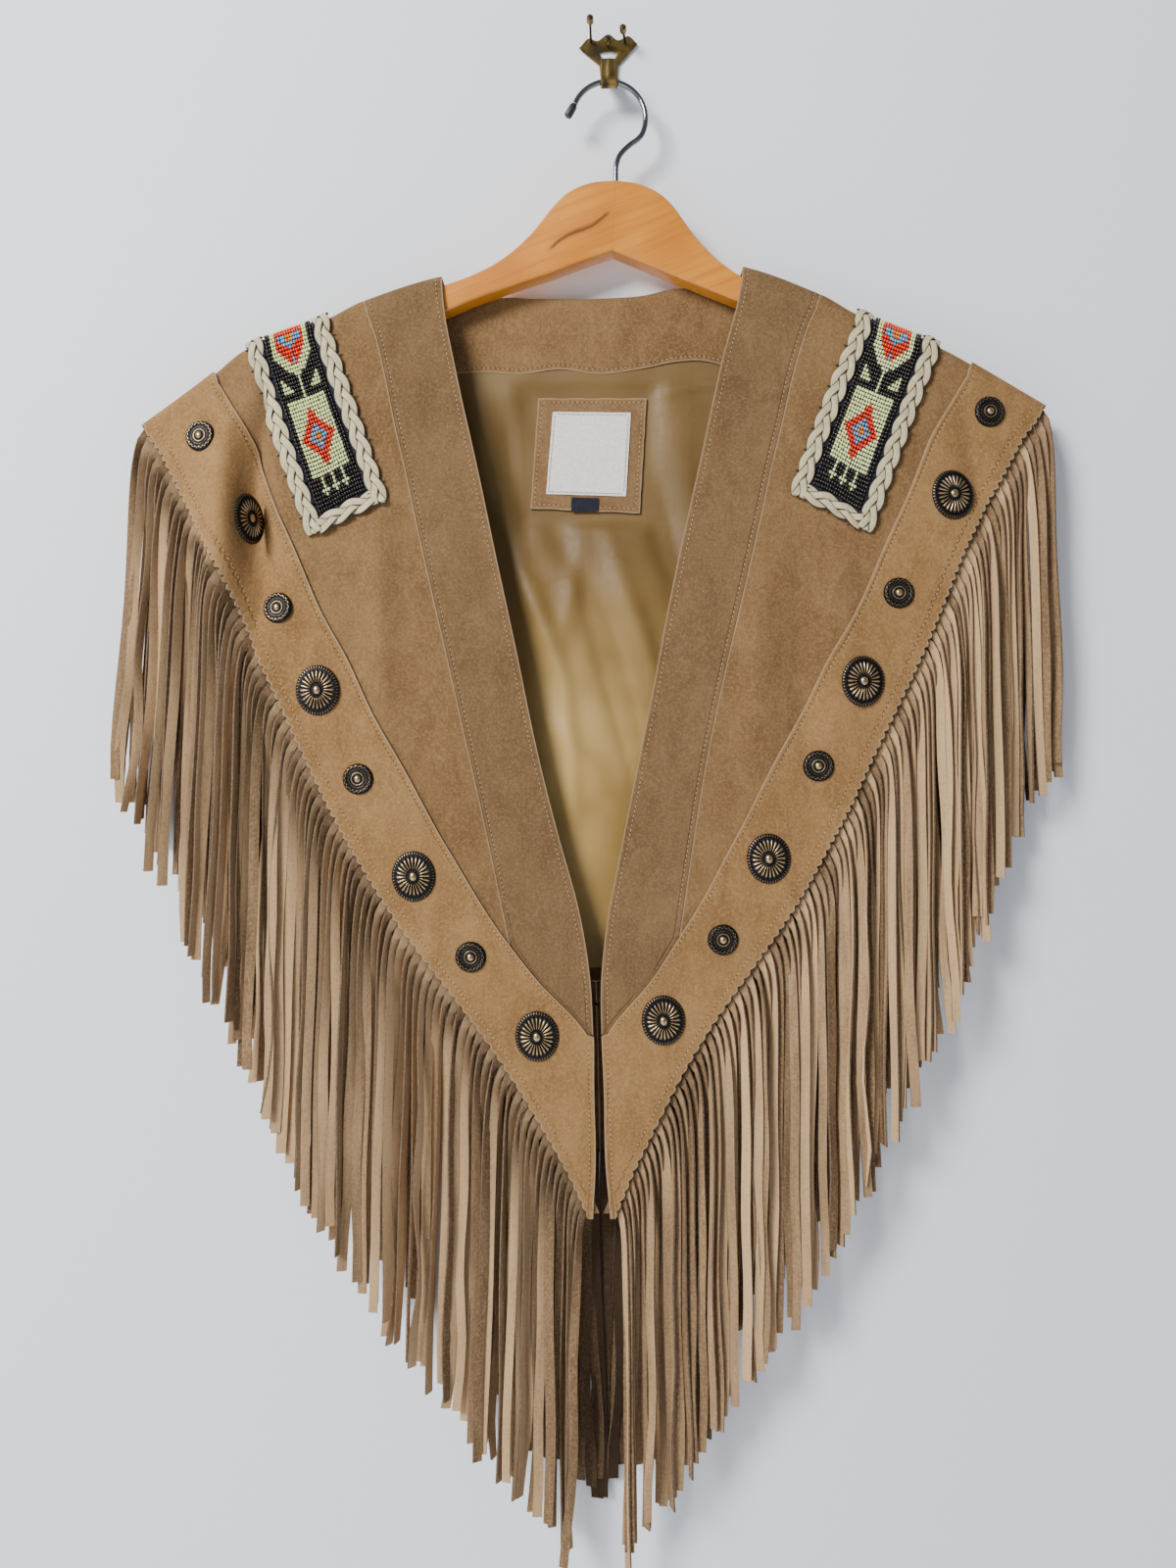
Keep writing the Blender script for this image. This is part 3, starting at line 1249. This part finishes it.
def seatOn(side, across, down, radius, lift):  # where a flat disc rests on the cloth
    turns = np.arange(16) / 16 * 2 * math.pi
    middle = clothAt(side, np.array([across]), np.array([down]), lift)[0]
    near, ring = (
        clothAt(side, across + reach * np.cos(turns), down + reach * np.sin(turns), lift)
        for reach in (radius * 0.6, radius))
    normal = np.linalg.svd(near - near.mean(axis=0))[2][2]
    normal = normal if normal[1] < 0 else -normal
    inFold = side == deepFold["side"] and abs(across - deepFold["across"]) < 5 and down < 150
    if inFold:  # the disc turns on with the deep fold
        normal = np.array(Matrix.Rotation(math.radians(18), 3, "Z") @ Vector(normal))
    rise = max(float(((ring - middle) @ normal).max()), 0)
    return Vector(middle + normal * (rise + 0.1)), Vector(normal)


def spunShape(profile, steps):  # rows of radius, rise and wear, spun about the up axis
    shape = bmesh.new()
    wornLayer = shape.verts.layers.float.new("worn")
    verts = [shape.verts.new((radius, 0, rise)) for radius, rise, worn in profile]
    for vert, row in zip(verts, profile):
        vert[wornLayer] = row[2]
    edges = [shape.edges.new(pair) for pair in zip(verts, verts[1:])]
    bmesh.ops.spin(
        shape, geom=verts + edges, cent=(0, 0, 0), axis=(0, 0, 1), angle=2 * math.pi,
        steps=steps, use_merge=True,
    )
    bmesh.ops.remove_doubles(shape, verts=shape.verts, dist=1e-4)
    return shape, wornLayer


def setInPlace(shape, spot, turn):  # a shape made upright in mm, turned and moved to its spot
    matrix = Matrix.Translation(spot * mm) @ Matrix.Scale(mm, 4) @ turn.to_4x4()
    bmesh.ops.transform(shape, matrix=matrix, verts=shape.verts)


def concho(side, word, number, kind, place):
    look = conchoLooks[kind]
    shape, wornLayer = spunShape(look["profile"], look["steps"])
    dice = random.Random(f"{word}{number}")
    start, end, height = look["rope"]
    outer = look["profile"][-1][0]
    for vert in shape.verts:
        radius = math.hypot(vert.co.x, vert.co.y)
        angle = math.atan2(vert.co.y, vert.co.x)
        if start < radius < end:
            wave = math.cos(look["ribs"] * (angle + look["twist"] * (radius - start) / 9.0)
                            * (1 if kind == "round" else 2))
            vert.co.z += height * wave
            vert[wornLayer] += 0.5 * wave
        if look["flute"] and look["flute"][0] < radius < look["flute"][1]:
            low, high, depth = look["flute"]
            share = math.sin(math.pi * (radius - low) / (high - low)) ** 0.5
            wave = math.cos(look["ribs"] * angle)
            wave = math.copysign(abs(wave) ** 0.6, wave)
            vert.co.z += depth * wave * share
            vert[wornLayer] += 0.85 * wave * share
        if kind == "oval" and radius > outer - 0.7:
            vert.co.x *= 1 + 0.012 * math.cos(48 * angle)
            vert.co.y *= 1 + 0.012 * math.cos(48 * angle)
    width, height = look["size"]
    bmesh.ops.scale(
        shape, vec=(width / 2 / outer, height / 2 / outer, 1), verts=shape.verts,
    )
    bmesh.ops.recalc_face_normals(shape, faces=shape.faces)
    seat, normal = seatOn(side, place[0], place[1], max(width, height) / 2, cloth["hemLift"])
    up = Vector((0, 0, 1))
    right = up.cross(normal).normalized()
    turn = Matrix((right, normal.cross(right), normal)).transposed()
    turn = turn @ Matrix.Rotation(dice.uniform(-0.12, 0.12), 3, "Z")
    setInPlace(shape, seat, turn)
    piece = makePiece(
        f"concho_{word}_piece_{number}", shape, [conchoMetal],
        [f"concho_{word}_{number}"],
    )
    return thicken(piece, 0.5, 0, -1)


for number, (kind, leftPlace, rightPlace) in enumerate(conchoRows, 1):
    concho(-1, "left", number, kind, leftPlace)
    concho(1, "right", number, kind, rightPlace)
print("conchos")

# Sewing: thread in short stitches, with a needle hole at each end
sewing = {"pitch": 3.0, "length": 2.0, "thick": 0.3, "hole": 0.42}


def sewAlong(balls, points, normals, sunk=0.08):
    length = runLengths(points)
    count = int(length[-1] / sewing["pitch"])

    def at(where, rows):
        return np.stack([np.interp(where, length, rows[:, k]) for k in range(3)], axis=1)

    where = (np.arange(count) + 0.5) * sewing["pitch"]
    spots, facing = at(where, points), at(where, normals)
    alongs = at(where + 0.5, points) - spots
    stitch = np.tile([sewing["thick"], sewing["thick"] * 0.8, sewing["length"] / 2], (count, 1))
    balls.append((spots - facing * sunk, alongs, facing, stitch, np.zeros(count, int)))
    hole = np.tile([sewing["hole"], 0.06, sewing["hole"]], (count, 1))
    ends = at(where + sewing["pitch"] / 2, points)
    balls.append((ends + facing * 0.01, alongs, facing, hole, np.ones(count, int)))


def sewCloth(balls, side, acrossOf, start, end, lift):
    down = np.linspace(start, end, 300)
    across = acrossOf(down)
    sewAlong(balls, clothAt(side, across, down, lift), outwardAt(side, across, down))


def seams(side, word):
    balls = []
    inset = stitchInset
    slant, lift = inset["slant"], cloth["hemLift"]
    rows = (  # how far out at each height, from and to which height, and the lift of the face
        (lambda d: cutAt("inner", d) + inset["front"], -6, 470, 0.0),
        (lambda d: cutAt("seam", d) - inset["seam"], -6, 404, 0.0),
        (lambda d: cutAt("upper", d) + inset["hemUpper"] / slant, -6, 470, lift),
        (lambda d: cutAt("lower", d) - inset["hemLower"] / slant, -4, 552, lift),
        (lambda d: cutAt("inner", d) + inset["tip"], 482, 572, lift),
        (lambda d: backEdge("upper", d) + inset["backUpper"], -14, -440, lift),
        (lambda d: backLower(d) - inset["backLower"], -14, -520, lift),
    )
    for row in rows:
        sewCloth(balls, side, *row)
    across = np.linspace(0.5, 132, 120)
    down = -(facingBottom(side, across) - inset["facing"])
    points = clothAt(side, across, down, cloth["innerLift"], False) - (0, 2.15, 0)
    sewAlong(balls, points, -outwardAt(side, across, down, False))
    shape = scatter(balls, stitchBall)
    return makePiece(f"stitches_{word}", shape, [thread, needleHole])


for side, word in sides:
    seams(side, word)
print("sewing")


# Hanger: two halves of one plank, its hook and the hook's cap
hangerSettings = {
    "x": 3.7, "z": -84, "thickness": 13, "tilt": 1.5, "bevel": 2.6, "gap": 0.02,
    "wire": 3.4, "ringX": -0.3, "ringZ": -42.2, "ringRadius": 23.3,
}
hangerRows = {
    "across": (0, 15, 28, 37, 45, 53, 64, 76, 90, 106, 128, 155, 185, 205, 216, 221),
    "top": (0, -1.8, -7.4, -15.4, -26, -36, -46.7, -55.4, -62.5, -68.5, -76, -86, -99, -107,
            -112.5, -116.5),
    "under": (-44.3, -50, -55, -58.6, -61.5, -64.4, -68.5, -73, -78.8, -86, -93, -103, -114,
              -121, -126.5, -128),
}


def hangerHalf(side, word):
    look = hangerSettings
    across = np.concatenate([np.linspace(0, 60, 31), np.linspace(64, 216, 39), [219, 221]])
    top = readRows(hangerRows, "across", "top", across)
    under = readRows(hangerRows, "across", "under", across)
    across[0] = look["gap"]
    rim = list(zip(across, top)) + list(zip(across[::-1], under[::-1]))
    shape = bmesh.new()
    half = look["thickness"] / 2
    verts = [shape.verts.new((side * x * mm, -half * mm, z * mm)) for x, z in rim]
    face = shape.faces.new(verts if side > 0 else verts[::-1])
    made = bmesh.ops.extrude_face_region(shape, geom=[face])["geom"]
    moved = [item for item in made if isinstance(item, bmesh.types.BMVert)]
    bmesh.ops.translate(shape, vec=(0, look["thickness"] * mm, 0), verts=moved)
    bmesh.ops.recalc_face_normals(shape, faces=shape.faces)
    rims = [edge for edge in shape.edges if abs(edge.verts[0].co.y - edge.verts[1].co.y) < 1e-6
            and max(abs(vert.co.x) for vert in edge.verts) > mm]  # the joint stays sharp
    bmesh.ops.bevel(
        shape, geom=rims, offset=look["bevel"] * mm, offset_type="OFFSET", affect="EDGES",
        segments=5, profile=0.5, material=-1, clamp_overlap=True,
    )
    for edge in shape.edges:
        edge.smooth = edge.calc_face_angle(0) < 0.9  # no soft shading round the joint
    turn = Matrix.Rotation(math.radians(look["tilt"]), 4, "Y")
    place = Matrix.Translation(Vector((look["x"], cloth["ridgeY"], look["z"])) * mm)
    bmesh.ops.transform(shape, matrix=place @ turn, verts=shape.verts)
    return makePiece(f"hangerHalf_{word}", shape, [wood], [f"hanger_{word}"])


def tube(shape, points, radii, segments):
    points = [Vector(point) for point in points]
    count = len(points)
    made, spots = gridIn(shape, segments, count - 1)
    frames = []
    across = None
    for i, point in enumerate(points):
        along = (points[min(i + 1, count - 1)] - points[max(i - 1, 0)]).normalized()
        if across is None:
            across = along.orthogonal().normalized()
        across = (across - along * across.dot(along)).normalized()
        frames.append((point, across.copy(), along.cross(across)))
    for vert, (u, v) in zip(made, spots):
        i = int(round(v * (count - 1)))
        point, first, second = frames[i]
        turn = 2 * math.pi * u
        radius = radii[i] if hasattr(radii, "__len__") else radii
        vert.co = (point + (first * math.cos(turn) + second * math.sin(turn)) * radius) * mm
    faces = {face for vert in made for face in vert.link_faces}
    for face in faces:
        face.normal_update()
    probe = next(iter(faces))
    middle = probe.calc_center_median()
    nearest = min((frame[0] * mm for frame in frames), key=lambda spot: (spot - middle).length)
    if probe.normal.dot(middle - nearest) < 0:
        bmesh.ops.reverse_faces(shape, faces=list(faces))
    bmesh.ops.remove_doubles(shape, verts=made, dist=1e-6)


def closeEnds(shape):
    bmesh.ops.holes_fill(shape, edges=[edge for edge in shape.edges if edge.is_boundary])


def smoothPath(points, steps):  # points of a Catmull-Rom curve
    points = [np.array(point, float) for point in points]
    padded = [2 * points[0] - points[1]] + points + [2 * points[-1] - points[-2]]
    out = []
    for a, b, c, d in zip(padded, padded[1:], padded[2:], padded[3:]):
        for step in range(steps):
            t = step / steps
            out.append(0.5 * (2 * b + (c - a) * t + (2 * a - 5 * b + 4 * c - d) * t ** 2
                              + (3 * b - a - 3 * c + d) * t ** 3))
    return out + [points[-1]]


def hookPoints():
    look = hangerSettings
    points = []
    for angle in range(158, -23, -15):
        turned = math.radians(angle)
        points.append((
            look["ringX"] + look["ringRadius"] * math.cos(turned), cloth["ridgeY"],
            look["ringZ"] + look["ringRadius"] * math.sin(turned),
        ))
    points += [(x, cloth["ridgeY"], z) for x, z in (
        (18.4, -55.0), (12.4, -59.4), (7.0, -65), (4.6, -71.4), (4.2, -78), (4.2, -83.7))]
    return points


def hangerHook():
    look = hangerSettings
    path = smoothPath(hookPoints(), 8)
    shape = bmesh.new()
    tube(shape, path, look["wire"] / 2, 24)
    closeEnds(shape)
    piece = makePiece("hangerHook", shape, [chrome], ["hanger_hook"])
    tip = np.array(hookPoints()[0])
    way = np.array([-0.5, 0, -0.87]) / math.hypot(0.5, 0.87)
    cap = bmesh.new()
    profile = [(0.5, 0), (0.55, 1.7), (0.8, 2.4), (3, 2.5), (7.6, 2.6), (8.6, 2.2), (9.1, 1.2),
               (9.2, 0)]
    tube(cap, [tip + way * at for at, radius in profile], [radius for at, radius in profile], 24)
    bmesh.ops.remove_doubles(cap, verts=cap.verts, dist=1e-6)
    makePiece("hookCap", cap, [rubberTip], ["hook_cap"])
    return piece


# Wall hook: a fan-shaped plate with a window, a strip bent into a J and three nails
brassSettings = {
    "thickness": 1.2, "strip": 10.5, "bend": 4.6, "tip": -8, "gap": 0.3,
    "outline": ((-5.25, -5), (-6, 1.5), (-18.1, 11.6), (-17.6, 14), (-13, 18.7), (-7, 17.2),
                (-0.4, 21.5), (6, 17.6), (12.6, 20.3), (17.2, 16.4), (17.6, 14), (6, 1.5),
                (5.25, -5)),
    "window": ((-3.5, 4.4), (3.5, 4.4), (6.4, 9.8), (0, 10.6), (-6.4, 9.8)),
    "nails": (("left", -11.4, 15.8, -12.1, 20.1, 20), ("middle", -0.6, 13.4, -0.8, 13.9, 9),
              ("right", 10.6, 15.4, 8.6, 17.2, 15)),
}


def loopEdges(shape, points, y):
    verts = [shape.verts.new((x * mm, y * mm, z * mm)) for x, z in points]
    return [shape.edges.new(pair) for pair in zip(verts, verts[1:] + verts[:1])]


def wallHook():
    look = brassSettings
    shape = bmesh.new()
    worn = shape.verts.layers.float.new("worn")
    rounded = [tuple(p) for p in smoothPath(look["outline"][1:-1], 5)]
    edges = loopEdges(shape, [look["outline"][0]] + rounded + [look["outline"][-1]], -0.6)
    edges += loopEdges(shape, look["window"], -0.6)
    bmesh.ops.triangle_fill(shape, edges=edges, use_beauty=True, normal=(0, -1, 0))
    sag = hangerSettings["ringRadius"]
    sag -= math.sqrt(sag ** 2 - (look["strip"] / 2) ** 2)
    wireBottom = hangerSettings["ringZ"] + hangerSettings["ringRadius"]
    wireBottom -= hangerSettings["wire"] / 2 + sag
    bendZ = wireBottom - look["gap"] + look["bend"] - look["thickness"] / 2
    line = [(-1.75, 3.6), (-1.75, 1.5), (-1.6, -1), (-1.0, -4)]
    line += [(cloth["ridgeY"] + look["bend"] * math.cos(math.radians(angle)),
              bendZ + look["bend"] * math.sin(math.radians(angle))) for angle in range(25, -181, -12)]
    line.append((cloth["ridgeY"] - look["bend"] - 1, look["tip"]))
    made, spots = gridIn(shape, 10, len(line) - 1)
    for vert, (u, v) in zip(made, spots):
        u = u * 2 - 1
        i = int(round(v * (len(line) - 1)))
        narrow = 0.72 if i == 0 else 1
        y, z = line[i]
        rib = 0.35 * max(0, 1 - (u / 0.3) ** 2)
        top = 0.8 * (1 - u * u) * (i == 0)  # the strip's rounded end in the window
        vert.co = Vector((u * look["strip"] / 2 * narrow, y - rib, z + top)) * mm
    for vert in shape.verts:
        vert[worn] = 0.55 + 0.4 * math.sin(vert.co.x * 700) * math.sin(vert.co.z * 500)
    bmesh.ops.recalc_face_normals(shape, faces=shape.faces)
    piece = makePiece("wallHook", shape, [agedBrass], ["wall_hook"])
    thicken(piece, look["thickness"], 0, 0)
    round_ = piece.modifiers.new("edge", "BEVEL")
    round_.width = 0.3 * mm
    round_.segments = 2
    round_.limit_method = "ANGLE"
    for name, x, z, headX, headZ, reach in look["nails"]:
        nail(name, Vector((x, -look["thickness"] - 0.8, z)), Vector((headX, -reach, headZ)))
    return piece


def nail(name, foot, head):
    way = head - foot
    length = way.length
    shape, wornLayer = spunShape((
        (0.0, 0.0, 0.1), (0.75, 0.0, 0.1), (0.75, length - 4.3, 0.1), (1.9, length - 4.2, 0.2),
        (2.1, length - 3.9, 0.9), (2.1, length - 0.5, 0.7), (1.85, length, 0.1),
        (0.9, length + 0.35, 0.0), (0.0, length + 0.4, 0.0),
    ), 48)
    for vert in shape.verts:
        radius = math.hypot(vert.co.x, vert.co.y)
        if radius > 2.0:
            wave = math.cos(16 * math.atan2(vert.co.y, vert.co.x))
            vert.co.x *= 1 + 0.045 * wave
            vert.co.y *= 1 + 0.045 * wave
            vert[wornLayer] += 0.3 * wave
    bmesh.ops.recalc_face_normals(shape, faces=shape.faces)
    setInPlace(shape, foot, way.to_track_quat("Z", "Y").to_matrix())
    return makePiece(f"nailShank_{name}", shape, [agedBrass], [f"nail_{name}"])


for side, word in sides:
    hangerHalf(side, word)
hangerHook()
wallHook()
print("hanger and wall hook")

# Labels: a leather patch, a bare woven label on it and a small bare tab
labelSettings = {
    "patch": ((-45.1, -215.2), (24.1, -215.2), (19.8, -288.6), (-50.1, -285.5)),
    "woven": ((-35.8, -224), (14.1, -224.6), (11, -278), (-40.1, -276.5)),
    "tab": ((-23.8, -278.6), (-6.5, -279.2), (-6.8, -287.6), (-24.1, -287.6)),
}
backFaceY = float(clothAt(1, np.array([0.0]), np.array([-120.0]), 0, False)[0][1])


def labelSheet(name, corners, lift, columns, rows, materials, replaced, wobble=0.0):
    shape = bmesh.new()
    edgeLayer = shape.verts.layers.float.new("edge")
    seamLayer = shape.verts.layers.float.new("seam")
    made, spots = gridIn(shape, columns, rows)
    a, b, c, d = (np.array(corner) for corner in corners)
    width, height = np.linalg.norm(b - a), np.linalg.norm(d - a)
    for vert, (u, v) in zip(made, spots):
        spot = (a * (1 - u) + b * u) * (1 - v) + (d * (1 - u) + c * u) * v
        inset = min(u * width, (1 - u) * width, v * height, (1 - v) * height)
        lump = wobble * math.sin(spot[0] / 9 + 1) * math.sin(spot[1] / 11)
        rim = wobble * 0.5 * math.sin(spot[0] / 3.1 + spot[1] / 2.7) * (inset < 0.01)
        vert[edgeLayer] = inset * mm
        vert[seamLayer] = abs(inset - 2.6) * mm
        vert.co = Vector((spot[0] + rim * 0.6, backFaceY + lift + lump * 0.3, spot[1] + rim)) * mm
    turnOutward(shape, [(0, -1, 0)] * len(shape.verts))
    return makePiece(name, shape, materials, replaced)


patch = labelSheet(
    "leatherPatch", labelSettings["patch"], -4.3, 40, 42, [suede["label"], rawEdge],
    ["label_patch"], 0.35,
)
thicken(patch, 1.2, 1)
woven = labelSheet(
    "bareLabel", labelSettings["woven"], -5.0, 30, 32, [wovenLabel],
    ["woven_label"], 0.1,
)
thicken(woven, 0.4)
tab = labelSheet("bareTab", labelSettings["tab"], -5.1, 10, 6, [navyFelt], ["size_tab"])
thicken(tab, 0.5)


def labelStitches():
    balls = []
    for key, inset, lift in (("patch", 2.6, 4.35), ("woven", 1.5, 5.05)):
        corners = [np.array(corner) for corner in labelSettings[key]]
        middle = sum(corners) / 4
        corners = [corner + np.sign(middle - corner) * inset for corner in corners]
        for start, end in zip(corners, corners[1:] + corners[:1]):
            flat = start + (end - start) * np.linspace(0, 1, 40)[:, None]
            points = np.stack([flat[:, 0], np.full(40, backFaceY - lift), flat[:, 1]], axis=-1)
            sewAlong(balls, points, np.tile([0.0, -1.0, 0.0], (40, 1)))
    shape = scatter(balls, stitchBall)
    return makePiece("labelStitches", shape, [thread, needleHole])


labelStitches()
print("labels")

# Closure: a small wire hook through an eye where the fronts meet
closureSettings = {"down": 458, "radius": 2.4, "wire": 0.45}


def wireLoop(shape, centre, radius, wire, flat, turn):
    points = []
    for n in range(33):
        angle = 2 * math.pi * n / 32 * 0.94 + turn
        x, z = radius * math.cos(angle), radius * math.sin(angle)
        points.append(centre + Vector((x, z, 0) if flat else (x, 0, z)))
    tube(shape, points, wire, 10)
    closeEnds(shape)


def closure():
    look = closureSettings
    across = cutAt("inner", look["down"])
    left = clothAt(-1, across, look["down"], -cloth["leather"], False)
    right = clothAt(1, across, look["down"], -cloth["leather"], False)
    y = max(left[1], right[1]) + look["radius"] + look["wire"] + 0.3
    for name, node, flat, shift in (
        ("wireHook", "closure_hook", True, -look["radius"] * 1.57),
        ("wireEye", "closure_eye", False, 0.2),
    ):
        shape = bmesh.new()
        centre = Vector((right[0] + shift, y, right[2]))
        wireLoop(shape, centre, look["radius"], look["wire"], flat, 2.0 if flat else 0.4)
        makePiece(name, shape, [blackSteel], [node])


closure()
print("closure")


# Wall and floor: plain, and the wall is seen only from its front
def stageMaterial():
    material, shader, place = startMaterial("paintedWall", {
        "Roughness": 0.9, "Base Color": tone(238, 241, 247),
    })
    tree = material.node_tree
    output = tree.nodes["Material Output"]
    behind = place.node("ShaderNodeNewGeometry", None, None, "Backfacing")
    shadow = place.node("ShaderNodeLightPath", None, None, "Is Shadow Ray")
    clear = tree.nodes.new("ShaderNodeBsdfTransparent")
    blend = tree.nodes.new("ShaderNodeMixShader")
    hidden = behind.maths("MAXIMUM", behind, shadow)
    tree.links.new(hidden.socket, blend.inputs[0])
    tree.links.new(shader.outputs[0], blend.inputs[1])
    tree.links.new(clear.outputs[0], blend.inputs[2])
    tree.links.new(blend.outputs[0], output.inputs["Surface"])
    return material


def stageSheet(name, corners, material):
    shape = bmesh.new()
    shape.faces.new([shape.verts.new(corner) for corner in corners])
    mesh = bpy.data.meshes.new(name)
    shape.to_mesh(mesh)
    shape.free()
    mesh.materials.append(material)
    sheet = bpy.data.objects.new(name, mesh)
    scene.collection.objects.link(sheet)


def makeStage(settings):
    half, floor = settings["width"] / 2, settings["floor"]
    top = floor + settings["height"]
    y = settings["y"] * mm
    paint = stageMaterial()
    stageSheet("wall", [(-half, y, floor), (half, y, floor), (half, y, top), (-half, y, top)], paint)
    front = -settings["depth"]
    stageSheet("floor", [(-half, front, floor), (half, front, floor), (half, y, floor),
                         (-half, y, floor)], paint)


makeStage(wallSettings)
print("wall and floor")


print("sheets declared")
